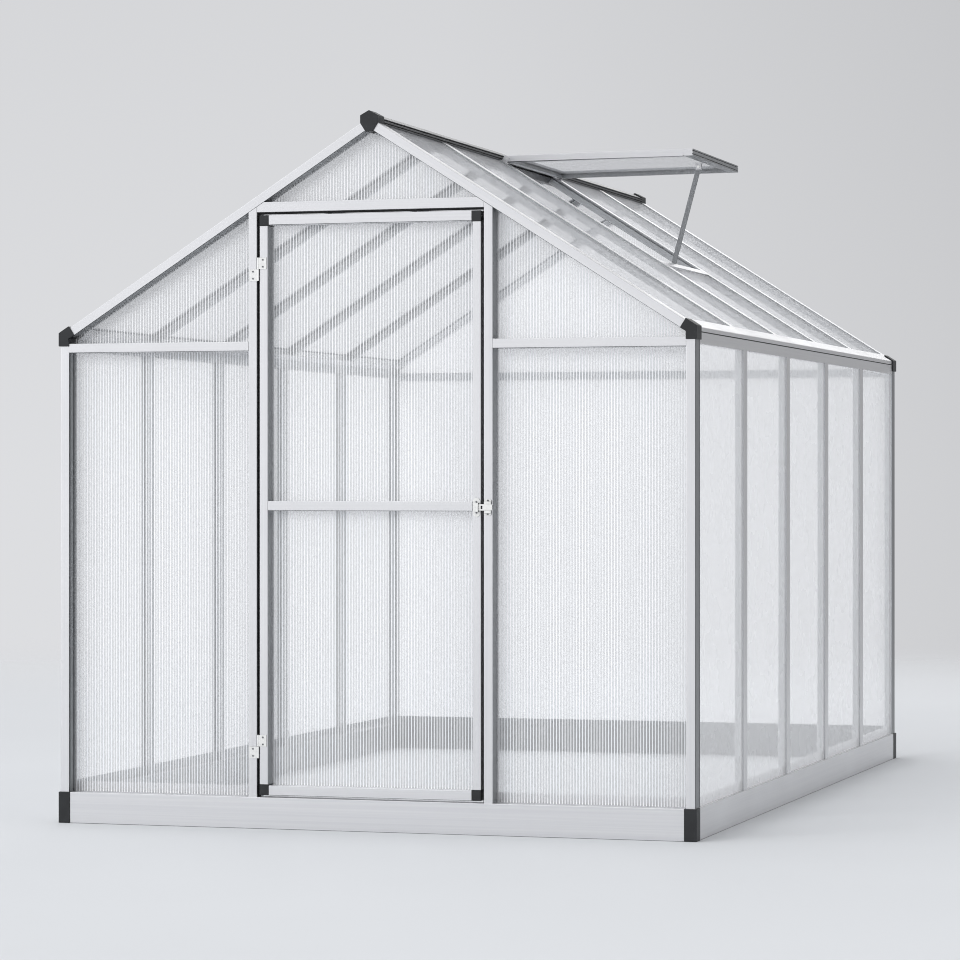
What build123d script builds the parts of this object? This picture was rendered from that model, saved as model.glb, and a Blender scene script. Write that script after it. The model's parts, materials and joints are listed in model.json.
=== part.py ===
from build123d import *
import os
from math import cos, radians, sin, tan

# Walk-in gable greenhouse: aluminium frame, twin-wall sheets, hinged front door and one roof vent.
# Millimetres. X is across, Y runs along the ridge with the door at -Y, Z is up. The origin is on the
# ground under the middle of the base.

# Overall sizes
length = 3080.0
width = 1900.0
base_height = 90.0
eave_height = 1418.0
roof_pitch = 32.5
bay_count = 5

# Sheets and the slots that hold them
sheet_thickness = 6.0
sheet_clearance = 0.2
slot_depth = 8.0
sheet_engagement = 7.0
sheet_edge_gap = 0.3

# Wall and roof bars: outer strip, web and hollow inner body
strip_thickness = 3.0
strip_width = 50.0
web_width = 8.0
bar_body_depth = 20.0
bar_body_width = 26.0
profile_wall = 1.6

# Gable members: a hollow box in front, a slot behind it and a back flange
post_face = 26.0
post_box_depth = 44.0
post_back = 7.0
frame_setback = 5.0

# Base rails and corner caps
rail_setback = 2.0
side_rail_depth = 34.0
gable_rail_depth = 62.0
upstand_height = 28.0
upstand_thickness = 3.0
upstand_notch_gap = 0.5
rail_wall = 1.8
base_cap_depth = 46.0
base_cap_rounding = 2.0

# Eave beams and their corner caps
eave_face = 46.0
eave_arm = 45.0
eave_groove_drop = 12.0
eave_groove = 3.0
eave_cap_face = 36.0
eave_cap_arm = 34.0

# Ridge
ridge_half_width = 26.0
ridge_side = 22.0
ridge_crown = 14.0
ridge_cap_proud = 6.0
ridge_groove = 3.0
ridge_groove_depth = 2.0
ridge_cavity_height = 24.0

# Gable layout
door_opening = 676.0
lintel_height = 30.0
girt_height = 27.0
girt_rise = 8.0

# Door leaf
door_gap = 8.0
door_bottom_gap = 6.0
stile_face = 25.0
rail_face = 28.0
door_box_depth = 36.0
door_back = 7.0
middle_rail_height = 921.0
block_overlap = 3.0
block_proud = 1.0
seal_thickness = 4.5
seal_depth = 12.0
seal_setback = 12.0

# Hinges
lower_hinge_inset = 138.0
upper_hinge_inset = 154.0
leaf_width = 22.0
leaf_height = 33.0
leaf_thickness = 2.5
knuckle_radius = 3.6
knuckle_gap = 0.5
hinge_pin_radius = 2.0
running_clearance = 0.05
pin_foot = 2.0
screw_head_radius = 2.6
screw_head_height = 1.4
screw_pitch = 20.0

# Latch
latch_drop = 3.0
latch_plate_width = 21.0
latch_plate_height = 54.0
latch_plate_thickness = 2.5
bolt_height = 18.0
bolt_thickness = 5.0
bolt_length = 48.0
bolt_reach = 27.0
bolt_clearance = 0.4
guide_wall = 3.0
guide_length = 14.0
keeper_width = 20.0
keeper_height = 46.0
prong_height = 7.0
bolt_slot_width = 5.0
bolt_slot_height = 9.0

# Roof vent
vent_open_angle = 33.0
sash_length = 602.0
sash_overlap = 18.0
sash_thickness = 22.0
sash_gap = 2.0
sash_side_width = 24.0
sash_top_width = 20.0
sash_bottom_width = 30.0
sash_heel = 5.0
sash_rib = 2.0
vent_axis_drop = 45.0
vent_pin_radius = 2.5
vent_bracket_thickness = 5.5
vent_bracket_length = 18.0
vent_bracket_gap = 0.6
vent_pin_reach = 14.0
sill_width = 30.0
sill_lap = 17.0

# Stay
stay_offset = -60.0
stay_width = 15.0
stay_thickness = 5.0
stay_pivot_place = 560.0
stay_pivot_drop = 12.0
stay_foot_gap = 0.8
stay_bracket_plate = 3.0
stay_bracket_width = 26.0
stay_bracket_length = 34.0
stay_bracket_gap = 1.0
stay_lug_thickness = 3.0
stay_lug_width = 18.0
stay_side_gap = 0.5
rivet_radius = 2.5
rivet_head_radius = 4.5
rivet_head_height = 1.5

# Nuts that hold the wall bars
nut_across = 10.0
nut_height = 4.0
nut_inset = 45.0

# Derived places
pitch_angle = radians(roof_pitch)
slope_cos = cos(pitch_angle)
slope_sin = sin(pitch_angle)
slope_tan = tan(pitch_angle)
up_slope = (-slope_cos, 0, slope_sin)
outward = (slope_sin, 0, slope_cos)
frame_x = width / 2 - frame_setback
frame_y = length / 2 - frame_setback
slot_width = sheet_thickness + 2 * sheet_clearance
shell_depth = strip_thickness + slot_width + bar_body_depth
gable_depth = post_box_depth + slot_width + post_back
inner_y = frame_y - gable_depth
roof_apex = eave_height + frame_x * slope_tan
ridge_distance = (frame_x - ridge_half_width) / slope_cos
bar_pitch = (2 * frame_y - gable_depth) / bay_count
bar_places = [(index - bay_count / 2) * bar_pitch for index in range(1, bay_count)]
door_half = door_opening / 2
eave_cap_bottom = eave_height - eave_cap_face
girt_top = eave_cap_bottom + girt_rise
girt_bottom = girt_top - girt_height
door_post_outer = door_half + post_face
lintel_bottom = roof_apex - post_face / slope_cos - door_post_outer * slope_tan
lintel_top = lintel_bottom + lintel_height
gable_sheet_front = -frame_y + post_box_depth + sheet_clearance
gable_sheet_back = gable_sheet_front + sheet_thickness
base_cap_face = rail_setback + side_rail_depth


def save(piece, label):
    """Names a finished piece and writes it."""
    piece.part.label = label
    export_step(piece.part, f"parts/{label}.step")


def save_mirrored(piece, plane, label):
    """Writes the mirror image of a finished piece as a piece of its own."""
    with BuildPart() as image:
        mirror(piece.part, about=plane)
    save(image, label)


def span(x_low, x_high, y_low, y_high, mode=Mode.ADD):
    """Rectangle between two opposite corners in the current sketch."""
    with Locations(((x_low + x_high) / 2, (y_low + y_high) / 2)):
        Rectangle(x_high - x_low, y_high - y_low, mode=mode)


def bar_section(middle):
    """Bar across a wall or slope: x is the depth below the outer face, y runs along the house."""
    span(-strip_thickness, 0, middle - strip_width / 2, middle + strip_width / 2)
    span(-strip_thickness - slot_width, -strip_thickness, middle - web_width / 2, middle + web_width / 2)
    body_top = -strip_thickness - slot_width
    span(-shell_depth, body_top, middle - bar_body_width / 2, middle + bar_body_width / 2)
    span(
        -shell_depth + profile_wall,
        body_top - profile_wall,
        middle - bar_body_width / 2 + profile_wall,
        middle + bar_body_width / 2 - profile_wall,
        mode=Mode.SUBTRACT,
    )


def frame_section(face, box_depth, back, inner_slot=False, outer_slot=False, shell_slot=False):
    """Frame member: x runs from -face to 0 across its face, y is the depth behind its front."""
    depth = box_depth + slot_width + back
    span(-face, 0, 0, depth)
    span(-face + profile_wall, -profile_wall, profile_wall, box_depth - profile_wall, mode=Mode.SUBTRACT)
    if inner_slot:
        span(-face, -face + slot_depth, box_depth, box_depth + slot_width, mode=Mode.SUBTRACT)
    if outer_slot:
        span(-slot_depth, 0, box_depth, box_depth + slot_width, mode=Mode.SUBTRACT)
    if shell_slot:
        slot_top = -strip_thickness
        span(slot_top - slot_width, slot_top, depth - slot_depth, depth, mode=Mode.SUBTRACT)


def gable_section(**slots):
    """Section that all posts, girts and rafters of the gables share."""
    frame_section(post_face, post_box_depth, post_back, **slots)


def door_section(face, **slots):
    """Section that the stiles and rails of the door share."""
    frame_section(face, door_box_depth, door_back, **slots)


def slope_point(distance, depth):
    """Point of the right slope, given up from the eave corner and down from the outer face."""
    x = frame_x - distance * slope_cos - depth * slope_sin
    z = eave_height + distance * slope_sin - depth * slope_cos
    return (x, z)


def slope_plane(distance, y):
    """Plane square to the right slope: x points out of the roof, y along the house."""
    x, z = slope_point(distance, 0)
    return Plane(origin=(x, y, z), x_dir=outward, z_dir=up_slope)


def post_plane(outer_x):
    """Plane on the base for a gable post whose face ends at outer_x."""
    return Plane(origin=(outer_x, -frame_y, base_height), x_dir=(1, 0, 0), z_dir=(0, 0, 1))


def girt_plane(end_x, front_y, top_z):
    """Plane at the right-hand end of a level member: x points up, y points to the back."""
    return Plane(origin=(end_x, front_y, top_z), x_dir=(0, 0, 1), z_dir=(-1, 0, 0))


def elbow(outer_depth, inner_depth, bottom, arm):
    """Corner points of the bent eave section between two depths below the outer faces."""
    corner_drop = (1 - slope_sin) / slope_cos
    outer_x = frame_x - outer_depth
    inner_x = frame_x - inner_depth
    return [
        (outer_x, bottom),
        (outer_x, eave_height - outer_depth * corner_drop),
        slope_point(arm, outer_depth),
        slope_point(arm, inner_depth),
        (inner_x, eave_height - inner_depth * corner_drop),
        (inner_x, bottom),
    ]


def ridge_outline(proud, gap=0.0):
    """Six-sided ridge section with its crown raised by proud and all sides moved out by gap."""
    foot_x, foot_z = slope_point(ridge_distance - gap, shell_depth + gap)
    edge_x, edge_z = slope_point(ridge_distance - gap, 0)
    shoulder = edge_z + ridge_side + proud - ridge_cap_proud
    crown = shoulder + ridge_crown
    right = [(foot_x, foot_z), (edge_x, edge_z), (edge_x, shoulder)]
    left = [(-x, z) for x, z in reversed(right)]
    return right + [(0, crown)] + left


def ridge_slot(side):
    """Corner points of the slot in one side of the ridge that takes the top edge of a roof sheet."""
    slot_bottom = strip_thickness + slot_width
    corners = [
        slope_point(ridge_distance, strip_thickness),
        slope_point(ridge_distance, slot_bottom),
        slope_point(ridge_distance + slot_depth, slot_bottom),
        slope_point(ridge_distance + slot_depth, strip_thickness),
    ]
    return [(side * x, z) for x, z in corners]


def under_rafters(depth):
    """Outline of everything above a line that lies depth below the outer face of both slopes."""
    low = roof_apex - depth / slope_cos
    side = low - width * slope_tan
    top = roof_apex + width
    return [(0, low), (width, side), (width, top), (-width, top), (-width, side)]


os.makedirs("parts", exist_ok=True)

# Base corner caps
with BuildPart() as base_corner_caps:
    with BuildSketch():
        for x_side in (-1, 1):
            for y_side in (-1, 1):
                cap_x = x_side * (width / 2 - base_cap_face / 2)
                cap_y = y_side * (length / 2 - base_cap_depth / 2)
                with Locations((cap_x, cap_y)):
                    RectangleRounded(base_cap_face, base_cap_depth, base_cap_rounding)
    extrude(amount=base_height)
save(base_corner_caps, "base_corner_caps")

# Side base rails, with an upstand that is notched round each wall bar
wall_sheet_outer = frame_x - strip_thickness - sheet_clearance
wall_sheet_inner = wall_sheet_outer - sheet_thickness
side_rail_outer = width / 2 - rail_setback
side_rail_inner = side_rail_outer - side_rail_depth
side_rail_half = length / 2 - base_cap_depth
side_upstand_outer = wall_sheet_inner - sheet_clearance
with BuildPart() as base_rail_right:
    with BuildSketch(Plane.XZ.offset(-side_rail_half)):
        span(side_rail_inner, side_rail_outer, 0, base_height)
        span(
            side_rail_inner + rail_wall,
            side_rail_outer - rail_wall,
            rail_wall,
            base_height - rail_wall,
            mode=Mode.SUBTRACT,
        )
    extrude(amount=2 * side_rail_half)
    with BuildSketch(Plane.XY.offset(base_height)):
        span(side_upstand_outer - upstand_thickness, side_upstand_outer, -inner_y, inner_y)
        for place in bar_places:
            notch_half = bar_body_width / 2 + upstand_notch_gap
            span(side_rail_inner, side_rail_outer, place - notch_half, place + notch_half, mode=Mode.SUBTRACT)
    extrude(amount=upstand_height)
save(base_rail_right, "base_rail_right")
save_mirrored(base_rail_right, Plane.YZ, "base_rail_left")

# Gable base rails, with an upstand behind each sheet
gable_rail_half = width / 2 - base_cap_face
gable_rail_front = -length / 2 + rail_setback
gable_rail_back = gable_rail_front + gable_rail_depth
upstand_front = gable_sheet_back + sheet_clearance
upstand_back = upstand_front + upstand_thickness
post_inner = frame_x - post_face
with BuildPart() as base_rail_front:
    with BuildSketch(Plane.YZ.offset(-gable_rail_half)):
        span(gable_rail_front, gable_rail_back, 0, base_height)
        span(
            gable_rail_front + rail_wall,
            gable_rail_back - rail_wall,
            rail_wall,
            base_height - rail_wall,
            mode=Mode.SUBTRACT,
        )
    extrude(amount=2 * gable_rail_half)
    with BuildSketch(Plane.XY.offset(base_height)):
        upstand_end = min(post_inner, gable_rail_half)
        span(door_post_outer, upstand_end, upstand_front, upstand_back)
        span(-upstand_end, -door_post_outer, upstand_front, upstand_back)
    extrude(amount=upstand_height)
save(base_rail_front, "base_rail_front")

with BuildPart() as base_rail_rear:
    mirror(base_rail_front.part, about=Plane.XZ)
    with BuildSketch(Plane.XY.offset(base_height)):
        span(-door_post_outer, door_post_outer, -upstand_back, -upstand_front)
    extrude(amount=upstand_height)
save(base_rail_rear, "base_rail_rear")

# Corner posts stand on the base and end under the eave caps
with BuildPart() as corner_post:
    with BuildSketch(post_plane(frame_x)):
        gable_section(inner_slot=True, shell_slot=True)
    extrude(amount=eave_cap_bottom - base_height)
save(corner_post, "corner_post_front_right")
save_mirrored(corner_post, Plane.YZ, "corner_post_front_left")
with BuildPart() as corner_posts_rear:
    mirror(corner_post.part, about=Plane.XZ)
    mirror(about=Plane.YZ)
save(corner_posts_rear, "corner_posts_rear")

# Eave corner caps
with BuildPart() as eave_corner_caps:
    with BuildSketch(Plane.XZ.offset(inner_y)):
        with BuildLine():
            Polyline(*elbow(-frame_setback, post_face, eave_cap_bottom, eave_cap_arm), close=True)
        make_face()
    extrude(amount=gable_depth + frame_setback)
    mirror(about=Plane.YZ)
    mirror(about=Plane.XZ)
save(eave_corner_caps, "eave_corner_caps")

# Eave beams: bent hollow section with a groove outside and slots for the wall and roof sheets
eave_bottom = eave_height - eave_face
with BuildPart() as eave_beam_right:
    with BuildSketch(Plane.XZ.offset(-inner_y)):
        with BuildLine():
            Polyline(*elbow(0, shell_depth, eave_bottom, eave_arm), close=True)
        make_face()
        with BuildLine():
            Polyline(
                *elbow(
                    strip_thickness + slot_width + profile_wall,
                    shell_depth - profile_wall,
                    eave_bottom + profile_wall,
                    eave_arm - profile_wall,
                ),
                close=True,
            )
        make_face(mode=Mode.SUBTRACT)
        groove_top = eave_height - eave_groove_drop
        span(frame_x - eave_groove, frame_x, groove_top - eave_groove, groove_top, mode=Mode.SUBTRACT)
        slot_outer = frame_x - strip_thickness
        span(slot_outer - slot_width, slot_outer, eave_bottom, eave_bottom + slot_depth, mode=Mode.SUBTRACT)
        with BuildLine():
            Polyline(
                slope_point(eave_arm, strip_thickness),
                slope_point(eave_arm, strip_thickness + slot_width),
                slope_point(eave_arm - slot_depth, strip_thickness + slot_width),
                slope_point(eave_arm - slot_depth, strip_thickness),
                close=True,
            )
        make_face(mode=Mode.SUBTRACT)
    extrude(amount=2 * inner_y)
save(eave_beam_right, "eave_beam_right")
save_mirrored(eave_beam_right, Plane.YZ, "eave_beam_left")

# Ridge beam with ribbed sides, a hollow core and slots for the roof sheets
with BuildPart() as ridge_beam:
    with BuildSketch(Plane.XZ.offset(-inner_y)):
        with BuildLine():
            Polyline(*ridge_outline(0), close=True)
        make_face()
        edge_x, edge_z = slope_point(ridge_distance, 0)
        cavity_half = edge_x - (slot_depth + profile_wall) / slope_cos
        span(-cavity_half, cavity_half, edge_z - ridge_cavity_height / 2, edge_z, mode=Mode.SUBTRACT)
        for side in (-1, 1):
            with BuildLine():
                Polyline(*ridge_slot(side), close=True)
            make_face(mode=Mode.SUBTRACT)
            rib_step = (ridge_side - ridge_cap_proud) / 2
            for rib in range(2):
                groove_z = edge_z + rib_step * (rib + 0.5)
                with Locations((side * ridge_half_width, groove_z)):
                    Rectangle(2 * ridge_groove_depth, ridge_groove, mode=Mode.SUBTRACT)
    extrude(amount=2 * inner_y)
save(ridge_beam, "ridge_beam")

# Ridge end caps, pocketed for the corners of the roof sheets
with BuildPart() as ridge_end_caps:
    with BuildSketch(Plane.XZ.offset(inner_y)):
        with BuildLine():
            Polyline(*ridge_outline(ridge_cap_proud), close=True)
        make_face()
    extrude(amount=gable_depth + frame_setback)
    with BuildSketch(Plane.XZ.offset(inner_y)):
        for side in (-1, 1):
            with BuildLine():
                Polyline(*ridge_slot(side), close=True)
            make_face()
    extrude(amount=slot_depth, mode=Mode.SUBTRACT)
    mirror(about=Plane.XZ)
save(ridge_end_caps, "ridge_end_caps")

# Gable rafters run from the eave caps to the ridge caps
with BuildPart() as gable_rafter:
    with BuildSketch(slope_plane(eave_cap_arm, -frame_y)):
        gable_section(inner_slot=True, shell_slot=True)
    extrude(amount=ridge_distance - eave_cap_arm)
save(gable_rafter, "gable_rafter_front_right")
save_mirrored(gable_rafter, Plane.YZ, "gable_rafter_front_left")
with BuildPart() as gable_rafters_rear:
    mirror(gable_rafter.part, about=Plane.XZ)
    mirror(about=Plane.YZ)
save(gable_rafters_rear, "gable_rafters_rear")

# Roof bars from the eave beam to the ridge beam
with BuildPart() as roof_bars_right:
    with BuildSketch(slope_plane(eave_arm, 0)):
        for place in bar_places:
            bar_section(place)
    extrude(amount=ridge_distance - eave_arm)
save(roof_bars_right, "roof_bars_right")
save_mirrored(roof_bars_right, Plane.YZ, "roof_bars_left")

# Wall bars from the base rail to the eave beam
with BuildPart() as wall_bars_right:
    with BuildSketch(Plane(origin=(frame_x, 0, base_height), x_dir=(1, 0, 0), z_dir=(0, 0, 1))):
        for place in bar_places:
            bar_section(place)
    extrude(amount=eave_bottom - base_height)
save(wall_bars_right, "wall_bars_right")
save_mirrored(wall_bars_right, Plane.YZ, "wall_bars_left")

# Nuts on the inner faces of the wall bars, near the base and near the eave
with BuildPart() as bar_nuts:
    for height in (base_height + nut_inset, eave_bottom - nut_inset):
        with BuildSketch(Plane.YZ.offset(frame_x - shell_depth - nut_height)):
            with Locations(*[(place, height) for place in bar_places]):
                RegularPolygon(nut_across / 2, 6, major_radius=False)
        extrude(amount=nut_height)
    mirror(about=Plane.YZ)
save(bar_nuts, "bar_nuts")

# Sheets of one long side: bays run between the webs of neighbouring bars
bay_lows = [-inner_y - sheet_engagement] + [place + web_width / 2 + sheet_edge_gap for place in bar_places]
bay_highs = [place - web_width / 2 - sheet_edge_gap for place in bar_places] + [inner_y + sheet_engagement]
bays = list(zip(bay_lows, bay_highs))
with BuildPart() as wall_sheets_right:
    with BuildSketch(Plane.XY.offset(base_height + sheet_edge_gap)):
        for low, high in bays:
            span(wall_sheet_inner, wall_sheet_outer, low, high)
    extrude(amount=eave_bottom + sheet_engagement - base_height - sheet_edge_gap)
save(wall_sheets_right, "wall_sheets_right")
save_mirrored(wall_sheets_right, Plane.YZ, "wall_sheets_left")

# Roof sheets: the bay under the vent has a short sheet that ends in the sill bar
vent_bay = bay_count // 2
vent_middle = (vent_bay + 0.5 - bay_count / 2) * bar_pitch
apex_distance = frame_x / slope_cos
sill_high = apex_distance - vent_axis_drop - sash_length + sill_lap
sill_low = sill_high - sill_width
sheet_start = eave_arm - sheet_engagement
sheet_top = -strip_thickness - sheet_clearance
with BuildPart() as roof_sheets_right:
    for bay, (low, high) in enumerate(bays):
        with BuildSketch(slope_plane(sheet_start, 0)):
            span(sheet_top - sheet_thickness, sheet_top, low, high)
        sheet_end = sill_low if bay == vent_bay else ridge_distance
        extrude(amount=sheet_end + sheet_engagement - sheet_start)
save(roof_sheets_right, "roof_sheets_right")

with BuildPart() as roof_sheets_left:
    for low, high in bays:
        with BuildSketch(slope_plane(sheet_start, 0)):
            span(sheet_top - sheet_thickness, sheet_top, low, high)
        extrude(amount=ridge_distance + sheet_engagement - sheet_start)
    mirror(about=Plane.YZ, mode=Mode.REPLACE)
save(roof_sheets_left, "roof_sheets_left")

# Door posts end against the rafters, and the lintel lies between them
rafter_under = under_rafters(post_face)
gable_back = -frame_y + gable_depth
with BuildPart() as door_post_right:
    with BuildSketch(post_plane(door_post_outer)):
        gable_section(outer_slot=True)
    extrude(amount=roof_apex - base_height)
    with BuildSketch(Plane.XZ.offset(-gable_back)):
        with BuildLine():
            Polyline(*rafter_under, close=True)
        make_face()
    extrude(amount=gable_depth, mode=Mode.SUBTRACT)
save(door_post_right, "door_post_right")
save_mirrored(door_post_right, Plane.YZ, "door_post_left")

with BuildPart() as door_lintel:
    with BuildSketch(girt_plane(door_half, -frame_y, lintel_top)):
        frame_section(lintel_height, post_box_depth, post_back, outer_slot=True)
    extrude(amount=door_opening)
    with BuildSketch(Plane.XZ.offset(-gable_back)):
        with BuildLine():
            Polyline(*rafter_under, close=True)
        make_face()
    extrude(amount=gable_depth, mode=Mode.SUBTRACT)
save(door_lintel, "door_lintel")

# Front girts between the corner posts and the door posts
with BuildPart() as front_girts:
    with BuildSketch(girt_plane(post_inner, -frame_y, girt_top)):
        frame_section(girt_height, post_box_depth, post_back, inner_slot=True, outer_slot=True)
    extrude(amount=post_inner - door_post_outer)
    mirror(about=Plane.YZ)
save(front_girts, "front_girts")

# Rear girt from corner post to corner post
with BuildPart() as rear_girt:
    with BuildSketch(girt_plane(post_inner, -frame_y, girt_top)):
        frame_section(girt_height, post_box_depth, post_back, inner_slot=True, outer_slot=True)
    extrude(amount=2 * post_inner)
    mirror(about=Plane.XZ, mode=Mode.REPLACE)
save(rear_girt, "rear_girt")

# Gable sheets: low ones stand on the base rail, high ones follow the rafters round the black caps
low_bottom = base_height + sheet_edge_gap
low_top = girt_bottom + sheet_engagement
high_bottom = girt_top - sheet_engagement
outer_low = door_post_outer - sheet_engagement
outer_high = post_inner + sheet_engagement
rafter_slot_line = under_rafters(post_face - sheet_engagement)
ridge_room = ridge_outline(ridge_cap_proud, sheet_edge_gap)
cap_room = elbow(
    -frame_setback,
    post_face + sheet_edge_gap,
    high_bottom - sheet_edge_gap,
    eave_cap_arm + sheet_edge_gap,
)
with BuildPart() as front_gable_sheets:
    with BuildSketch(Plane.XZ.offset(-gable_sheet_back)):
        span(outer_low, outer_high, low_bottom, low_top)
        span(outer_low, frame_x, high_bottom, roof_apex)
        span(0, door_half, lintel_top - sheet_engagement, roof_apex)
        with BuildLine():
            Polyline(*cap_room, close=True)
        make_face(mode=Mode.SUBTRACT)
        mirror(about=Plane.YZ)
        for outline in (rafter_slot_line, ridge_room):
            with BuildLine():
                Polyline(*outline, close=True)
            make_face(mode=Mode.SUBTRACT)
    extrude(amount=sheet_thickness)
save(front_gable_sheets, "front_gable_sheets")

with BuildPart() as rear_gable_sheets:
    with BuildSketch(Plane.XZ.offset(gable_sheet_front)):
        span(0, outer_high, low_bottom, low_top)
        span(0, frame_x, high_bottom, roof_apex)
        with BuildLine():
            Polyline(*cap_room, close=True)
        make_face(mode=Mode.SUBTRACT)
        mirror(about=Plane.YZ)
        for outline in (rafter_slot_line, ridge_room):
            with BuildLine():
                Polyline(*outline, close=True)
            make_face(mode=Mode.SUBTRACT)
    extrude(amount=sheet_thickness)
save(rear_gable_sheets, "rear_gable_sheets")

# Seal strips in the gaps beside and above the door
seal_front = -frame_y + seal_setback
with BuildPart() as door_seals:
    with BuildSketch(Plane.XZ.offset(-seal_front - seal_depth)):
        span(-door_half, -door_half + seal_thickness, base_height, lintel_bottom)
        span(door_half - seal_thickness, door_half, base_height, lintel_bottom)
        span(
            -door_half + seal_thickness,
            door_half - seal_thickness,
            lintel_bottom - seal_thickness,
            lintel_bottom,
        )
    extrude(amount=seal_depth)
save(door_seals, "door_seals")

# Door leaf
leaf_half = door_half - door_gap
leaf_bottom = base_height + door_bottom_gap
leaf_top = lintel_bottom - door_gap
hinge_heights = (leaf_bottom + lower_hinge_inset, leaf_top - upper_hinge_inset)
block_width = stile_face + block_overlap
block_height = rail_face + block_overlap
door_depth = door_box_depth + slot_width + door_back
with BuildPart() as door_corner_blocks:
    with BuildSketch(Plane.XZ.offset(frame_y - door_depth)):
        for low in (leaf_bottom, leaf_top - block_height):
            span(-leaf_half, -leaf_half + block_width, low, low + block_height)
            span(leaf_half - block_width, leaf_half, low, low + block_height)
    extrude(amount=door_depth + block_proud)
save(door_corner_blocks, "door_corner_blocks")

stile_bottom = leaf_bottom + block_height
stile_length = leaf_top - leaf_bottom - 2 * block_height
with BuildPart() as door_stile_latch:
    with BuildSketch(Plane(origin=(leaf_half, -frame_y, stile_bottom), x_dir=(1, 0, 0), z_dir=(0, 0, 1))):
        door_section(stile_face, inner_slot=True)
    extrude(amount=stile_length)
save(door_stile_latch, "door_stile_latch")
save_mirrored(door_stile_latch, Plane.YZ, "door_stile_hinge")

rail_end = leaf_half - block_width
middle_rail_top = middle_rail_height + rail_face / 2
with BuildPart() as door_top_rail:
    with BuildSketch(girt_plane(rail_end, -frame_y, leaf_top)):
        door_section(rail_face, inner_slot=True)
    extrude(amount=2 * rail_end)
save(door_top_rail, "door_top_rail")
with BuildPart() as door_bottom_rail:
    with BuildSketch(girt_plane(rail_end, -frame_y, leaf_bottom + rail_face)):
        door_section(rail_face, outer_slot=True)
    extrude(amount=2 * rail_end)
save(door_bottom_rail, "door_bottom_rail")
middle_rail_end = leaf_half - stile_face
with BuildPart() as door_middle_rail:
    with BuildSketch(girt_plane(middle_rail_end, -frame_y, middle_rail_top)):
        door_section(rail_face, inner_slot=True, outer_slot=True)
    extrude(amount=2 * middle_rail_end)
save(door_middle_rail, "door_middle_rail")

# Door sheets, notched round the corner blocks
door_sheet_back = -frame_y + door_box_depth + sheet_clearance + sheet_thickness
door_sheet_half = middle_rail_end + sheet_engagement
block_room = rail_end - sheet_edge_gap
upper_low = middle_rail_top - sheet_engagement
upper_high = leaf_top - rail_face + sheet_engagement
lower_low = leaf_bottom + rail_face - sheet_engagement
lower_high = middle_rail_top - rail_face + sheet_engagement
with BuildPart() as door_sheet_upper:
    with BuildSketch(Plane.XZ.offset(-door_sheet_back)):
        span(-door_sheet_half, door_sheet_half, upper_low, leaf_top - block_height - sheet_edge_gap)
        span(-block_room, block_room, upper_low, upper_high)
    extrude(amount=sheet_thickness)
save(door_sheet_upper, "door_sheet_upper")
with BuildPart() as door_sheet_lower:
    with BuildSketch(Plane.XZ.offset(-door_sheet_back)):
        span(-door_sheet_half, door_sheet_half, leaf_bottom + block_height + sheet_edge_gap, lower_high)
        span(-block_room, block_room, lower_low, lower_high)
    extrude(amount=sheet_thickness)
save(door_sheet_lower, "door_sheet_lower")

# Hinges: the leaf on the post carries the pin, the leaf on the door drops over it
hinge_x = -door_half + door_gap / 2
hinge_y = -frame_y
with BuildPart() as hinge_post_leaves:
    for height in hinge_heights:
        with BuildSketch(Plane.XY.offset(height - leaf_height)):
            with Locations((hinge_x, hinge_y)):
                Circle(knuckle_radius)
            plate_edge = -door_half
            span(plate_edge - leaf_width, hinge_x, hinge_y - leaf_thickness, hinge_y)
            with Locations((hinge_x, hinge_y)):
                Circle(hinge_pin_radius, mode=Mode.SUBTRACT)
        extrude(amount=leaf_height)
save(hinge_post_leaves, "hinge_post_leaves")

with BuildPart() as hinge_pins:
    for height in hinge_heights:
        with BuildSketch(Plane.XY.offset(height - leaf_height)):
            with Locations((hinge_x, hinge_y)):
                Circle(hinge_pin_radius)
        extrude(amount=2 * leaf_height - pin_foot)
save(hinge_pins, "hinge_pins")

with BuildPart() as hinge_door_leaves:
    for height in hinge_heights:
        with BuildSketch(Plane.XY.offset(height + knuckle_gap)):
            with Locations((hinge_x, hinge_y)):
                Circle(knuckle_radius)
            span(hinge_x, -leaf_half + leaf_width, hinge_y - leaf_thickness, hinge_y)
            with Locations((hinge_x, hinge_y)):
                Circle(hinge_pin_radius + running_clearance, mode=Mode.SUBTRACT)
        extrude(amount=leaf_height)
save(hinge_door_leaves, "hinge_door_leaves")

# Latch: a plate with a guide on the door, a forked keeper on the post and a bolt that slides across
latch_height = middle_rail_height - latch_drop
latch_face = -frame_y
plate_front = latch_face - latch_plate_thickness
plate_middle = leaf_half - stile_face / 2
guide_half = bolt_height / 2 + bolt_clearance
bolt_back = plate_front - bolt_clearance
bolt_front = bolt_back - bolt_thickness
with BuildPart() as latch_plate:
    with BuildSketch(Plane.XZ.offset(-latch_face)):
        lobe_offset = (latch_plate_height - latch_plate_width) / 2
        for side in (-1, 1):
            with Locations((plate_middle, latch_height + side * lobe_offset)):
                Circle(latch_plate_width / 2)
        with Locations((plate_middle, latch_height)):
            Rectangle(latch_plate_width, 2 * (guide_half + guide_wall))
    extrude(amount=latch_plate_thickness)
    with BuildSketch(Plane.YZ.offset(plate_middle - guide_length / 2)):
        guide_front = bolt_front - bolt_clearance - guide_wall
        guide_rim = guide_half + guide_wall
        span(guide_front, plate_front, latch_height - guide_rim, latch_height + guide_rim)
        span(
            bolt_front - bolt_clearance,
            plate_front,
            latch_height - guide_half,
            latch_height + guide_half,
            mode=Mode.SUBTRACT,
        )
    extrude(amount=guide_length)
save(latch_plate, "latch_plate")

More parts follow.
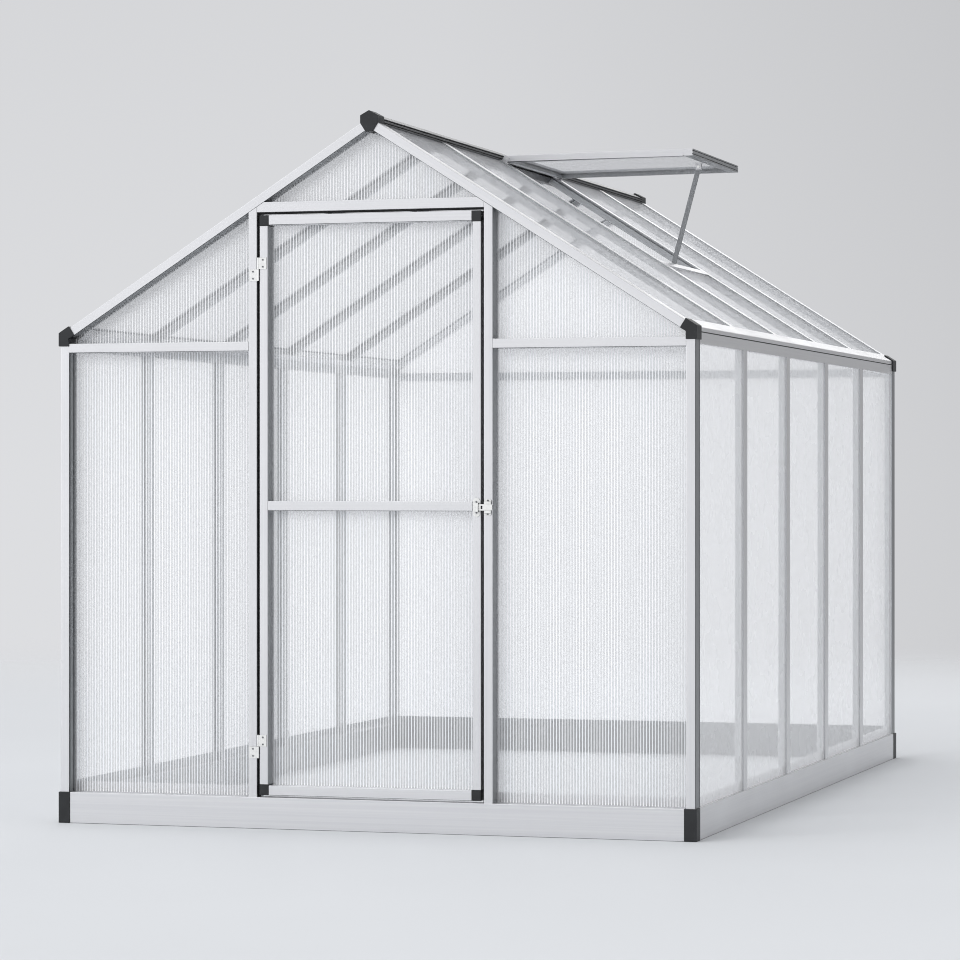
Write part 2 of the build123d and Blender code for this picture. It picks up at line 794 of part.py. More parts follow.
bolt_tip = door_half + bolt_reach
with BuildPart() as latch_bolt:
    with BuildSketch(Plane.XZ.offset(-bolt_back)):
        with Locations((bolt_tip - bolt_length / 2, latch_height)):
            RectangleRounded(bolt_length, bolt_height, bolt_height / 4)
        with Locations((door_half - door_gap / 2, latch_height)):
            Rectangle(bolt_slot_width, bolt_slot_height, mode=Mode.SUBTRACT)
    extrude(amount=bolt_thickness)
save(latch_bolt, "latch_bolt")

keeper_middle = door_half + post_face / 2
with BuildPart() as latch_keeper:
    with BuildSketch(Plane.XZ.offset(-latch_face)):
        with Locations((keeper_middle, latch_height)):
            RectangleRounded(keeper_width, keeper_height, keeper_width / 4)
    extrude(amount=latch_plate_thickness)
    with BuildSketch(Plane.XZ.offset(-plate_front)):
        for side in (-1, 1):
            with Locations((keeper_middle, latch_height + side * (guide_half + prong_height / 2))):
                Rectangle(keeper_width, prong_height)
    extrude(amount=bolt_clearance + bolt_thickness)
save(latch_keeper, "latch_keeper")

# Screw heads on the hinge leaves, the latch plate and the keeper
post_leaf_middle = -door_half - leaf_width / 2
door_leaf_middle = -leaf_half + leaf_width / 2
leaf_front = hinge_y - leaf_thickness
with BuildPart() as post_screws:
    with BuildSketch(Plane.XZ.offset(-leaf_front)):
        for height in hinge_heights:
            with Locations((post_leaf_middle, height - leaf_height / 2)):
                with GridLocations(screw_pitch, screw_pitch, 1, 2):
                    Circle(screw_head_radius)
    extrude(amount=screw_head_height)
    with BuildSketch(Plane.XZ.offset(-plate_front)):
        with Locations((keeper_middle, latch_height)):
            keeper_screw_pitch = 2 * (guide_half + prong_height + screw_head_radius) + bolt_clearance
            with GridLocations(screw_pitch, keeper_screw_pitch, 1, 2):
                Circle(screw_head_radius)
    extrude(amount=screw_head_height)
save(post_screws, "post_screws")

with BuildPart() as door_screws:
    with BuildSketch(Plane.XZ.offset(-leaf_front)):
        for height in hinge_heights:
            with Locations((door_leaf_middle, height + knuckle_gap + leaf_height / 2)):
                with GridLocations(screw_pitch, screw_pitch, 1, 2):
                    Circle(screw_head_radius)
    extrude(amount=screw_head_height)
    with BuildSketch(Plane.XZ.offset(-plate_front)):
        with Locations((plate_middle, latch_height)):
            lobe_screw_pitch = 2 * (guide_half + guide_wall + screw_head_radius) + 2 * bolt_clearance
            with GridLocations(screw_pitch, lobe_screw_pitch, 1, 2):
                Circle(screw_head_radius)
    extrude(amount=screw_head_height)
save(door_screws, "door_screws")

# Vent sill bar between the two roof bars beside the vent
sill_half = bar_pitch / 2 - strip_width / 2
with BuildPart() as vent_sill_bar:
    with BuildSketch(slope_plane(sill_low, vent_middle)):
        span(-shell_depth, 0, -sill_half, sill_half)
    extrude(amount=sill_width)
    with BuildSketch(slope_plane(sill_low, vent_middle)):
        span(-strip_thickness - slot_width, -strip_thickness, -sill_half, sill_half)
    extrude(amount=slot_depth, mode=Mode.SUBTRACT)
    with BuildSketch(slope_plane(sill_low + slot_depth + profile_wall, vent_middle)):
        span(-shell_depth + profile_wall, -profile_wall, -sill_half, sill_half)
    extrude(amount=sill_width - slot_depth - 2 * profile_wall, mode=Mode.SUBTRACT)
save(vent_sill_bar, "vent_sill_bar")

# Vent sash, drawn open: x runs from the hinge line to the free edge, z out of the sash
axis_lift = sash_gap + sash_thickness / 2
axis_distance = apex_distance - vent_axis_drop
axis_x, axis_z = slope_point(axis_distance, -axis_lift)
sash_tilt = radians(vent_open_angle - roof_pitch)
sash_plane = Plane(
    origin=(axis_x, vent_middle, axis_z),
    x_dir=(cos(sash_tilt), 0, sin(sash_tilt)),
    z_dir=(-sin(sash_tilt), 0, cos(sash_tilt)),
)
sash_half = bar_pitch / 2 + sash_overlap
sash_under = -sash_thickness / 2
side_inner = sash_half - sash_side_width
bottom_start = sash_length - sash_bottom_width
sash_pin_hole = vent_pin_radius + running_clearance
with BuildPart() as vent_side_bars:
    with BuildSketch(sash_plane.offset(sash_under)):
        span(-sash_heel, bottom_start, side_inner, sash_half)
    extrude(amount=sash_thickness)
    with BuildSketch(sash_plane.offset(-slot_width / 2)):
        span(-sash_heel, bottom_start, side_inner, side_inner + slot_depth)
    extrude(amount=slot_width, mode=Mode.SUBTRACT)
    with BuildSketch(Plane.XZ.offset(-vent_middle - sash_half)):
        with Locations((axis_x, axis_z)):
            Circle(sash_pin_hole)
    extrude(amount=vent_pin_reach, mode=Mode.SUBTRACT)
    mirror(about=Plane.XZ.offset(-vent_middle))
save(vent_side_bars, "vent_side_bars")

top_end = sash_top_width - sash_heel
with BuildPart() as vent_top_bar:
    with BuildSketch(sash_plane.offset(sash_under)):
        span(-sash_heel, top_end, -side_inner, side_inner)
    extrude(amount=sash_thickness)
    with BuildSketch(sash_plane.offset(-slot_width / 2)):
        span(top_end - slot_depth, top_end, -side_inner, side_inner)
    extrude(amount=slot_width, mode=Mode.SUBTRACT)
save(vent_top_bar, "vent_top_bar")

with BuildPart() as vent_bottom_bar:
    with BuildSketch(sash_plane.offset(sash_under)):
        span(bottom_start, sash_length, -sash_half, sash_half)
    extrude(amount=sash_thickness)
    with BuildSketch(sash_plane.offset(-slot_width / 2)):
        span(bottom_start, bottom_start + slot_depth, -side_inner, side_inner)
    extrude(amount=slot_width, mode=Mode.SUBTRACT)
    for rib_height in (-sash_thickness / 4, sash_thickness / 4):
        with BuildSketch(sash_plane.offset(rib_height - sash_rib / 2)):
            span(sash_length - sash_rib, sash_length, -sash_half, sash_half)
        extrude(amount=sash_rib, mode=Mode.SUBTRACT)
save(vent_bottom_bar, "vent_bottom_bar")

with BuildPart() as vent_sheet:
    with BuildSketch(sash_plane.offset(-sheet_thickness / 2)):
        sheet_half = side_inner + sheet_engagement
        span(top_end - sheet_engagement, bottom_start + sheet_engagement, -side_inner, side_inner)
        span(top_end, bottom_start - sheet_edge_gap, -sheet_half, sheet_half)
    extrude(amount=sheet_thickness)
save(vent_sheet, "vent_sheet")

# Vent hinge brackets stand on the strips of the roof bars and hold the pins
bracket_start = sash_half + vent_bracket_gap
bracket_plane = slope_plane(axis_distance - vent_bracket_length / 2, vent_middle)
with BuildPart() as vent_hinge_brackets:
    with BuildSketch(bracket_plane):
        span(0, axis_lift + vent_bracket_length / 2, bracket_start, bracket_start + vent_bracket_thickness)
    extrude(amount=vent_bracket_length)
    with BuildSketch(Plane.XZ.offset(-vent_middle - bracket_start - vent_bracket_thickness)):
        with Locations((axis_x, axis_z)):
            Circle(vent_pin_radius)
    extrude(amount=vent_bracket_thickness, mode=Mode.SUBTRACT)
    mirror(about=Plane.XZ.offset(-vent_middle))
save(vent_hinge_brackets, "vent_hinge_brackets")

with BuildPart() as vent_hinge_pins:
    with BuildSketch(Plane.XZ.offset(-vent_middle - bracket_start - vent_bracket_thickness)):
        with Locations((axis_x, axis_z)):
            Circle(vent_pin_radius)
    extrude(amount=vent_bracket_thickness + vent_bracket_gap + vent_pin_reach - pin_foot)
    mirror(about=Plane.XZ.offset(-vent_middle))
save(vent_hinge_pins, "vent_hinge_pins")

# Stay: a bracket under the bottom bar, a flat arm and the rivet that joins them
pivot_depth = sash_under - stay_pivot_drop
pivot_x = axis_x + stay_pivot_place * cos(sash_tilt) - pivot_depth * sin(sash_tilt)
pivot_z = axis_z + stay_pivot_place * sin(sash_tilt) + pivot_depth * cos(sash_tilt)
stay_y = vent_middle + stay_offset
lug_inner = stay_thickness / 2 + stay_side_gap
lug_outer = lug_inner + stay_lug_thickness
bracket_end = sash_length - sill_lap - stay_bracket_gap
with BuildPart() as stay_bracket:
    with BuildSketch(sash_plane.offset(sash_under - stay_bracket_plate)):
        span(
            bracket_end - stay_bracket_length,
            bracket_end,
            stay_offset - stay_bracket_width / 2,
            stay_offset + stay_bracket_width / 2,
        )
    extrude(amount=stay_bracket_plate)
    with BuildSketch(sash_plane.offset(pivot_depth - stay_lug_width / 2)):
        for side in (-1, 1):
            with Locations((stay_pivot_place, stay_offset + side * (lug_inner + lug_outer) / 2)):
                Rectangle(stay_lug_width, stay_lug_thickness)
    extrude(amount=stay_pivot_drop + stay_lug_width / 2 - stay_bracket_plate)
    with BuildSketch(Plane.XZ.offset(-stay_y - lug_outer)):
        with Locations((pivot_x, pivot_z)):
            Circle(rivet_radius)
    extrude(amount=2 * lug_outer, mode=Mode.SUBTRACT)
save(stay_bracket, "stay_bracket")

with BuildPart() as stay_rivet:
    with BuildSketch(Plane.XZ.offset(-stay_y - lug_outer - rivet_head_height)):
        with Locations((pivot_x, pivot_z)):
            Circle(rivet_head_radius)
    extrude(amount=rivet_head_height)
    with BuildSketch(Plane.XZ.offset(-stay_y - lug_outer)):
        with Locations((pivot_x, pivot_z)):
            Circle(rivet_radius)
    extrude(amount=2 * lug_outer)
    with BuildSketch(Plane.XZ.offset(-stay_y + lug_outer)):
        with Locations((pivot_x, pivot_z)):
            Circle(rivet_head_radius)
    extrude(amount=rivet_head_height)
save(stay_rivet, "stay_rivet")

foot_x, foot_z = slope_point(sill_high + stay_width / 2 + stay_foot_gap, 0)
with BuildPart() as stay_arm:
    with BuildSketch(Plane.XZ.offset(-stay_y - stay_thickness / 2)):
        with BuildLine():
            Line((pivot_x, pivot_z), (foot_x, foot_z))
        trace(line_width=stay_width)
        with Locations((pivot_x, pivot_z), (foot_x, foot_z)):
            Circle(stay_width / 2)
        with Locations((pivot_x, pivot_z)):
            Circle(rivet_radius + running_clearance, mode=Mode.SUBTRACT)
    extrude(amount=stay_thickness)
save(stay_arm, "stay_arm")

print("hinge axis", hinge_x, hinge_y)
print("vent axis", axis_x, vent_middle, axis_z)
print("stay pivot", pivot_x, stay_y, pivot_z, "foot", foot_x, foot_z)
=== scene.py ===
# %% [markdown]
# A walk-in greenhouse, dressed for the camera. The solids come in as a fixed frame in metres, so nothing is
# moved here. A place that is needed below is read from them.

# %% Load the frame
import json
import math

import bmesh
import bpy
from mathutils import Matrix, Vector

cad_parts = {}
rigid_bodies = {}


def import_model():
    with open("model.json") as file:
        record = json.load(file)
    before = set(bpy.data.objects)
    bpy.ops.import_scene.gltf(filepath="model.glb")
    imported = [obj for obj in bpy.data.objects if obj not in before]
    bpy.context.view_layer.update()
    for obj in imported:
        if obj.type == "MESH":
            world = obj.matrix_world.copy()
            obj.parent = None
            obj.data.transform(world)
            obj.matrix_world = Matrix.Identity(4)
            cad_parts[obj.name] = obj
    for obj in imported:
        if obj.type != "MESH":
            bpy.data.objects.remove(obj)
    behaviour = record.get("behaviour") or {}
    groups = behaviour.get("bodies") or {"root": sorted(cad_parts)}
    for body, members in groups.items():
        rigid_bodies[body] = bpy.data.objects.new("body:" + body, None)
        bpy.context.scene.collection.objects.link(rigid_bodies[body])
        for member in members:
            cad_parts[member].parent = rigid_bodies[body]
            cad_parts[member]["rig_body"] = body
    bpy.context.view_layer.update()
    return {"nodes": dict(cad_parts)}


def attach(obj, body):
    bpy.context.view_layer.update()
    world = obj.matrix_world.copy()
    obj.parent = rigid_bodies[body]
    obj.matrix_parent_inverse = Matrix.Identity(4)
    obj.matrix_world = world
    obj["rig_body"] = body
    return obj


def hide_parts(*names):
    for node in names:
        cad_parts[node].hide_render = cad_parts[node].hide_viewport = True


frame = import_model()
MM = 0.001

# %% [markdown]
# Two small tools for finishes. Colours are written as sRGB hex values, the way a paint chart gives them,
# and shaders want linear light. A node could be added and wired in several lines; here one call gives its
# settings, its links and the stops of its colour ramp, so that a finish reads from top to bottom.


# %% Colour and node tools
def linear(hex_colour):
    channels = [int(hex_colour[i : i + 2], 16) / 255 for i in (1, 3, 5)]
    return tuple(c / 12.92 if c <= 0.04045 else ((c + 0.055) / 1.055) ** 2.4 for c in channels) + (1.0,)


def add(tree, kind, links=None, stops=(), **settings):
    node = tree.nodes.new(kind)
    for key, value in settings.items():
        setattr(node, key, value)
    for k, (place, colour) in enumerate(stops):
        steps = node.color_ramp.elements
        step = steps[k] if k < len(steps) else steps.new(place)
        step.position, step.color = place, colour
    for socket, source in (links or {}).items():
        if isinstance(source, bpy.types.NodeSocket):
            tree.links.new(source, node.inputs[socket])
        else:
            node.inputs[socket].default_value = source
    return node


def finish_named(name):
    material = bpy.data.materials.new(name)
    material.use_nodes = True
    return material, material.node_tree, material.node_tree.nodes["Principled BSDF"]


print("tools ready")

# %% [markdown]
# Satin anodised aluminium is an extrusion that was etched and anodised. It gives the eye a soft, even grey-
# white sheen with faint die lines along the profile. An image could carry the lines; a noise that is
# stretched along the run needs none, and a Mapping node turns it for each direction. Real die lines are a
# fraction of a millimetre wide, so they are drawn 5 mm wide to show at this distance.

# %% Satin anodised aluminium
DIE_LINE = 5 * MM
DIE_LENGTH = 900 * MM
CLOUD = 260 * MM
DIE_DEPTH = 0.2 * MM
PITCH = math.radians(32.5)


def satin_aluminium(name, turn, hex_light="#e5e5e6", hex_dark="#dddddf", rough=(0.30, 0.44)):
    material, tree, shader = finish_named(name)
    place = add(tree, "ShaderNodeTexCoord")
    along = add(tree, "ShaderNodeMapping", {"Vector": place.outputs["Object"], "Rotation": turn})
    stretch = (1 / DIE_LENGTH, 1 / DIE_LINE, 1 / DIE_LINE)
    drawn = add(tree, "ShaderNodeVectorMath", {0: along.outputs["Vector"], 1: stretch}, operation="MULTIPLY")
    lines = add(tree, "ShaderNodeTexNoise", {"Vector": drawn.outputs["Vector"], "Scale": 1.0, "Detail": 3.0})
    cloudy = {"Vector": place.outputs["Object"], "Scale": 1 / CLOUD, "Detail": 2.0}
    clouds = add(tree, "ShaderNodeTexNoise", cloudy)
    both = add(tree, "ShaderNodeMath", {0: lines.outputs["Fac"], 1: clouds.outputs["Fac"]}, operation="ADD")
    shades = ((0.3, linear(hex_dark)), (0.7, linear(hex_light)))
    tone = add(tree, "ShaderNodeValToRGB", {"Fac": lines.outputs["Fac"]}, shades)
    spread = {"Value": both.outputs[0], "From Min": 0.7, "From Max": 1.3}
    gloss = add(tree, "ShaderNodeMapRange", {**spread, "To Min": rough[0], "To Max": rough[1]})
    ridges = {"Height": lines.outputs["Fac"], "Strength": 0.06, "Distance": DIE_DEPTH}
    relief = add(tree, "ShaderNodeBump", ridges)
    tree.links.new(tone.outputs["Color"], shader.inputs["Base Color"])
    tree.links.new(gloss.outputs["Result"], shader.inputs["Roughness"])
    tree.links.new(relief.outputs["Normal"], shader.inputs["Normal"])
    shader.inputs["Metallic"].default_value = 0.9
    return material


runs = {
    "across": (0, 0, 0),
    "along": (0, 0, math.pi / 2),
    "upright": (0, math.pi / 2, 0),
    "right_slope": (0, -PITCH, 0),
    "left_slope": (0, PITCH, 0),
}
aluminium = {run: satin_aluminium(f"aluminium_satin_anodised_{run}", turn) for run, turn in runs.items()}
print("aluminium runs", sorted(aluminium))

# %% [markdown]
# Faces that look into the house, and the flanks between the sheets, get painted shade: darker, duller copies
# of the satin finish stand in for the shade that falls there. Narrow grooves get a darker copy still,
# painted shade that keeps them readable from far away, where a few samples would lose the real shadow.

# %% Painted shade for inner faces, flanks and grooves
SHADE_ROUGH = (0.40, 0.52)
# darker copies of the satin finish, painted shade for faces that look inwards, flanks and grooves
inner_shade = {
    run: satin_aluminium(f"aluminium_mill_{run}", turn, "#c6c8ca", "#bcbec0", SHADE_ROUGH)
    for run, turn in runs.items()
}
flank_shade = satin_aluminium("aluminium_mill_flank", runs["upright"], "#9fa1a3", "#8f9193", SHADE_ROUGH)
groove_shade = satin_aluminium("aluminium_painted_groove_shade", runs["along"], "#58595b", "#4c4d4f", (0.5, 0.6))
print("mill runs", sorted(inner_shade), groove_shade.name)

# %% [markdown]
# The ridge is the same metal with a charcoal anodised skin. It looks nearly black, with a little more gloss
# than the moulded caps beside it, and its grooves get a blacker copy, painted shade. The same function makes
# it, so its die lines match those of the rest of the frame.

# %% Charcoal anodised aluminium
charcoal = satin_aluminium("aluminium_charcoal_anodised", runs["along"], "#4c4d50", "#404144", (0.30, 0.42))
charcoal_groove_shade = satin_aluminium(
    "aluminium_charcoal_painted_groove_shade", runs["along"], "#121314", "#0c0d0e", (0.5, 0.6)
)
print(charcoal.name, charcoal_groove_shade.name)

# %% [markdown]
# The corner pieces are injection-moulded black nylon. The mould gives them a fine spark-eroded grain, so
# the eye gets broad, soft highlights on a black that is never quite even. The extruded rubber of the door
# seals is made the same way, only duller. The grain is about half a millimetre and is drawn at 2.5 mm so
# that it shows.

# %% Moulded black nylon and rubber
GRAIN = 2.5 * MM
FLOW_MARK = 30 * MM


def moulded(name, hex_low, hex_high, rough, grain_depth):
    material, tree, shader = finish_named(name)
    place = add(tree, "ShaderNodeTexCoord")
    fine = {"Vector": place.outputs["Object"], "Scale": 1 / GRAIN, "Detail": 2.0}
    grain = add(tree, "ShaderNodeTexNoise", fine)
    broad = {"Vector": place.outputs["Object"], "Scale": 1 / FLOW_MARK, "Detail": 3.0}
    cloud = add(tree, "ShaderNodeTexNoise", broad)
    shades = ((0.3, linear(hex_low)), (0.75, linear(hex_high)))
    tone = add(tree, "ShaderNodeValToRGB", {"Fac": cloud.outputs["Fac"]}, shades)
    spread = {"Value": grain.outputs["Fac"], "To Min": rough[0], "To Max": rough[1]}
    gloss = add(tree, "ShaderNodeMapRange", spread)
    bumps = {"Height": grain.outputs["Fac"], "Strength": 0.25, "Distance": grain_depth}
    relief = add(tree, "ShaderNodeBump", bumps)
    tree.links.new(tone.outputs["Color"], shader.inputs["Base Color"])
    tree.links.new(gloss.outputs["Result"], shader.inputs["Roughness"])
    tree.links.new(relief.outputs["Normal"], shader.inputs["Normal"])
    return material


black_nylon = moulded("nylon_black_moulded", "#18191b", "#212325", (0.42, 0.58), 0.3 * MM)
black_rubber = moulded("rubber_epdm_extruded", "#151617", "#1e1f21", (0.6, 0.8), 0.15 * MM)
print(black_nylon.name, black_rubber.name)

# %% [markdown]
# Hinges and latch are pressed steel with a pale, slightly cloudy zinc coat; the cloud is the crystal
# pattern of the plating. Their rims are painted darker, a painted shade outline round each plate. The screws
# have a grey phosphate coat, and their recess is painted dark as shade, so each screw reads as a dot on its
# plate.

# %% Zinc plate and screws
SPANGLE = 9 * MM


def plated_steel(name, hex_light, hex_dark, metallic, rough):
    material, tree, shader = finish_named(name)
    place = add(tree, "ShaderNodeTexCoord")
    crystals = {"Vector": place.outputs["Object"], "Scale": 1 / SPANGLE}
    spangle = add(tree, "ShaderNodeTexVoronoi", crystals)
    shades = ((0.0, linear(hex_light)), (1.0, linear(hex_dark)))
    tone = add(tree, "ShaderNodeValToRGB", {"Fac": spangle.outputs["Distance"]}, shades)
    spread = {"Value": spangle.outputs["Distance"], "To Min": rough[0], "To Max": rough[1]}
    gloss = add(tree, "ShaderNodeMapRange", spread)
    tree.links.new(tone.outputs["Color"], shader.inputs["Base Color"])
    tree.links.new(gloss.outputs["Result"], shader.inputs["Roughness"])
    shader.inputs["Metallic"].default_value = metallic
    return material


zinc = plated_steel("steel_pale_zinc_plated", "#e9e9e7", "#dcdcda", 0.35, (0.28, 0.42))
zinc_rim_shade = plated_steel("steel_rim_painted_shade", "#77787a", "#696a6c", 0.6, (0.40, 0.50))
phosphate = plated_steel("steel_grey_phosphate", "#b0b1b3", "#a2a3a5", 0.7, (0.35, 0.45))
# dark finish for screw recesses, painted shade
recess = plated_steel("steel_recess_painted_shade", "#4a4b4d", "#3e3f41", 0.2, (0.6, 0.7))
print(zinc.name, zinc_rim_shade.name, phosphate.name, recess.name)

# %% [markdown]
# Twin-wall polycarbonate is two thin clear skins joined by webs. Light scatters a little in the skin and
# more at the root of each web, so the eye sees a haze with fine pale lines. Glass shading through every
# skin would need many samples, so each sheet has one hazy outer skin with paler roots, and its inner faces
# are almost clear. The front sheets get roots painted paler and nearly opaque, painted light for the sheets
# that face the lamps; the walls look even, and the roof looks greyer.


# %% Clear polycarbonate
DRAW_MARK = 120 * MM
CLEAR_IOR = 1.58
WALL_ROUGH = (0.20, 0.35)
ROOF_ROUGH = (0.35, 0.50)


def polycarbonate(name, hex_haze, alpha, rough):
    material, tree, shader = finish_named(name)
    place = add(tree, "ShaderNodeTexCoord")
    marks = {"Vector": place.outputs["Object"], "Scale": 1 / DRAW_MARK, "Detail": 2.0}
    drawn = add(tree, "ShaderNodeTexNoise", marks)
    spread = {"Value": drawn.outputs["Fac"], "From Min": 0.3, "From Max": 0.7}
    gloss = add(tree, "ShaderNodeMapRange", {**spread, "To Min": rough[0], "To Max": rough[1]})
    tree.links.new(gloss.outputs["Result"], shader.inputs["Roughness"])
    shader.inputs["Base Color"].default_value = linear(hex_haze)
    shader.inputs["Alpha"].default_value = alpha
    shader.inputs["IOR"].default_value = CLEAR_IOR
    shader.inputs["Specular IOR Level"].default_value = 0.1
    return material


clear_inner = polycarbonate("polycarbonate_inner_skin", "#dcdddf", 0.006, WALL_ROUGH)
clear = {
    "front": (
        polycarbonate("polycarbonate_front_skin", "#dddee0", 0.34, WALL_ROUGH),
        # front roots are painted light: paler and nearly opaque
        polycarbonate("polycarbonate_front_root_painted_light", "#f4f5f6", 0.97, WALL_ROUGH),
        clear_inner,
    ),
    "wall": (
        polycarbonate("polycarbonate_wall_skin", "#e3e4e6", 0.45, WALL_ROUGH),
        polycarbonate("polycarbonate_wall_root", "#e9eaec", 0.55, WALL_ROUGH),
        clear_inner,
    ),
    "roof": (
        polycarbonate("polycarbonate_roof_skin", "#c0c1c4", 0.40, ROOF_ROUGH),
        polycarbonate("polycarbonate_roof_root", "#c6c7ca", 0.48, ROOF_ROUGH),
        clear_inner,
    ),
}
print("polycarbonate finishes", sorted(clear))

# %% [markdown]
# A sharp solid looks drawn, not made: real extrusions have eased edges that catch a thin line of light. A
# Bevel modifier would round the loose triangles of a solid too, so each piece is a copy with its doubles
# merged and its flat faces joined up first. Only outer edges that are sharp, and long and broad enough, are
# then bevelled.

# %% Merge and ease
WELD = 0.005 * MM
FLAT = math.radians(0.5)
SHARP = math.radians(35)


def merged_copy(node):
    bm = bmesh.new()
    bm.from_mesh(frame["nodes"][node].data)
    bmesh.ops.remove_doubles(bm, verts=bm.verts, dist=WELD)
    bmesh.ops.dissolve_limit(bm, angle_limit=FLAT, verts=bm.verts, edges=bm.edges)
    return bm


def width_of(face):
    return face.calc_area() / max(edge.calc_length() for edge in face.edges)


def ease_edges(bm, width, segments, wide=0.0, shortest=0.0):
    outer = [e for e in bm.edges if e.is_manifold and e.is_convex and e.calc_face_angle(0) > SHARP]
    long = [e for e in outer if e.calc_length() > shortest]
    broad = [e for e in long if min(width_of(face) for face in e.link_faces) > wide]
    made = bmesh.ops.bevel(
        bm, geom=broad, offset=width, offset_type="OFFSET", segments=segments, profile=0.5,
        affect="EDGES", clamp_overlap=True, material=-1,
    )
    return made["faces"]


trial = merged_copy("door_lintel")
print("door lintel merged to", len(trial.faces), "faces")
trial.free()

# %% [markdown]
# A finished mesh becomes an object at the origin. It rides the body of the solid that it stands for, so a
# joint carries it along. Smooth shading with weighted normals keeps the broad faces flat and lets only the
# eased edges turn the light.


# %% Make a piece
def make_piece(name, bm, finishes, body, stands_for=()):
    mesh = bpy.data.meshes.new(name)
    bm.to_mesh(mesh)
    bm.free()
    if "custom_normal" in mesh.attributes:
        mesh.attributes.remove(mesh.attributes["custom_normal"])
    for finish in finishes:
        mesh.materials.append(finish)
    piece = bpy.data.objects.new(name, mesh)
    bpy.context.scene.collection.objects.link(piece)
    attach(piece, body)
    if stands_for:
        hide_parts(*stands_for)
    return piece


def soften(piece, angle=40):
    piece.data.shade_smooth()
    piece.data.set_sharp_from_angle(angle=math.radians(angle))
    weigh = piece.modifiers.new("even_light", "WEIGHTED_NORMAL")
    weigh.keep_sharp = True
    return piece


# %% [markdown]
# One extrusion shows several finishes: satin outside, and painted shade as a darker copy inside, a darker
# one still on a flank beside a sheet and the darkest in a groove. They could be separate pieces; here each
# face of one mesh gets its finish from the way it looks. A narrow face with a hollow long edge lies in a
# groove. The long outer edges are eased more than the rest, and an eased edge that looks down gets the
# groove finish, a painted shade line under the profile.

# %% Finishes and painted shade by face
SATIN, SHADED, DEEP_SHADED, SHADED_GROOVE = 0, 1, 2, 3
GROOVE = 4 * MM
FACING = 0.8
MOST = 0.9
LOOKS_DOWN = -0.3
BROAD_FACE = 8 * MM
LONG_EDGE = 100 * MM


def faces_a_way(face, ways):
    return any(face.normal.dot(way) > FACING for way in ways)


def in_groove(face):
    reach = max(edge.calc_length() for edge in face.edges)
    hollow = [e for e in face.edges if e.is_manifold and not e.is_convex and e.calc_length() > MOST * reach]
    return bool(hollow) and width_of(face) < GROOVE


def mark_shade(bm, shade_ways, dark):
    for face in bm.faces:
        face.material_index = SHADED if faces_a_way(face, shade_ways) else SATIN
        if faces_a_way(face, dark):
            face.material_index = DEEP_SHADED
        if in_groove(face):
            face.material_index = SHADED_GROOVE


def eased_piece(node, finishes, edge, segments=2, shade_ways=(), dark=(), outer=0.0, shape=None):
    bm = merged_copy(node)
    mark_shade(bm, shade_ways, dark)
    if shape:
        shape(bm)
    if outer:
        for face in ease_edges(bm, outer, 3, wide=BROAD_FACE, shortest=LONG_EDGE):
            # eased edges that look down get painted shade, the line of shade under a profile
            face.material_index = SHADED_GROOVE if face.normal.z < LOOKS_DOWN else SATIN
    ease_edges(bm, edge, segments)
    piece = make_piece(node + "_eased", bm, finishes, frame["nodes"][node]["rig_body"], [node])
    return soften(piece)


print("a groove is narrower than", GROOVE / MM, "mm")

# %% [markdown]
# The ways that faces look are named once. The roof slopes come from the pitch, and the vent, which rests
# open, gives its own way and middle from the largest face and the box of its sheet.

# %% Ways to look
x_axis, y_axis, z_axis = Vector((1, 0, 0)), Vector((0, 1, 0)), Vector((0, 0, 1))
right_slope = Vector((math.sin(PITCH), 0, math.cos(PITCH)))
left_slope = Vector((-math.sin(PITCH), 0, math.cos(PITCH)))
vent_solid = frame["nodes"]["vent_sheet"]
vent_out = max(vent_solid.data.polygons, key=lambda f: f.area).normal.copy()
vent_out = vent_out if vent_out.z > 0 else -vent_out
vent_middle = sum((Vector(corner) for corner in vent_solid.bound_box), Vector()) / 8
print("the vent looks to", tuple(round(x, 3) for x in vent_out))

# %% [markdown]
# The corner posts have two shallow grooves down one flank. Such grooves stiffen an extrusion, and the eye
# sees them as lines of shade; their floors are also given the painted groove shade. A boolean cut is one
# way;
# two plane cuts and an inset pushed inwards make the same groove with clean faces.

# %% Grooves in the corner posts
POST_GROOVE = 9 * MM
POST_GROOVE_DEPTH = 1.4 * MM
FRONT_LAND, BACK_LAND = 3 * MM, 3 * MM
GROOVE_DRAFT = 0.3 * MM
SAME_LEVEL = 0.1 * MM
SQUARE_ON = 0.95
NEAR_MIDDLE = 0.1
CUT_LIMIT = 1e-7


def press_groove(bm, way, across, low, width, depth):
    for place in (low, low + width):
        flats = [f for f in bm.faces if f.normal.dot(way) > SQUARE_ON and width_of(f) > width]
        flat = max(flats, key=lambda f: f.calc_center_median().dot(way))
        geom = [flat, *flat.edges, *flat.verts]
        bmesh.ops.bisect_plane(bm, geom=geom, dist=CUT_LIMIT, plane_co=across * place, plane_no=across)
    middle = low + width / 2
    strips = [f for f in bm.faces if f.normal.dot(way) > SQUARE_ON]
    strips = [f for f in strips if abs(f.calc_center_median().dot(across) - middle) < NEAR_MIDDLE * width]
    top = max(f.calc_center_median().dot(way) for f in strips)
    strips = [f for f in strips if top - f.calc_center_median().dot(way) < SAME_LEVEL]
    bmesh.ops.inset_individual(bm, faces=strips, thickness=GROOVE_DRAFT, depth=-depth)
    # the groove floor gets painted shade
    for strip in strips:
        strip.material_index = SHADED_GROOVE


def post_grooves(bm):
    sides = [f for f in bm.faces if abs(f.normal.x) > SQUARE_ON]
    flank = max(sides, key=lambda f: (f.normal.x > SQUARE_ON, f.calc_area()))
    reach = [v.co.y for v in flank.verts]
    for low in (min(reach) + FRONT_LAND, max(reach) - BACK_LAND - POST_GROOVE):
        press_groove(bm, flank.normal.copy(), y_axis, low, POST_GROOVE, POST_GROOVE_DEPTH)


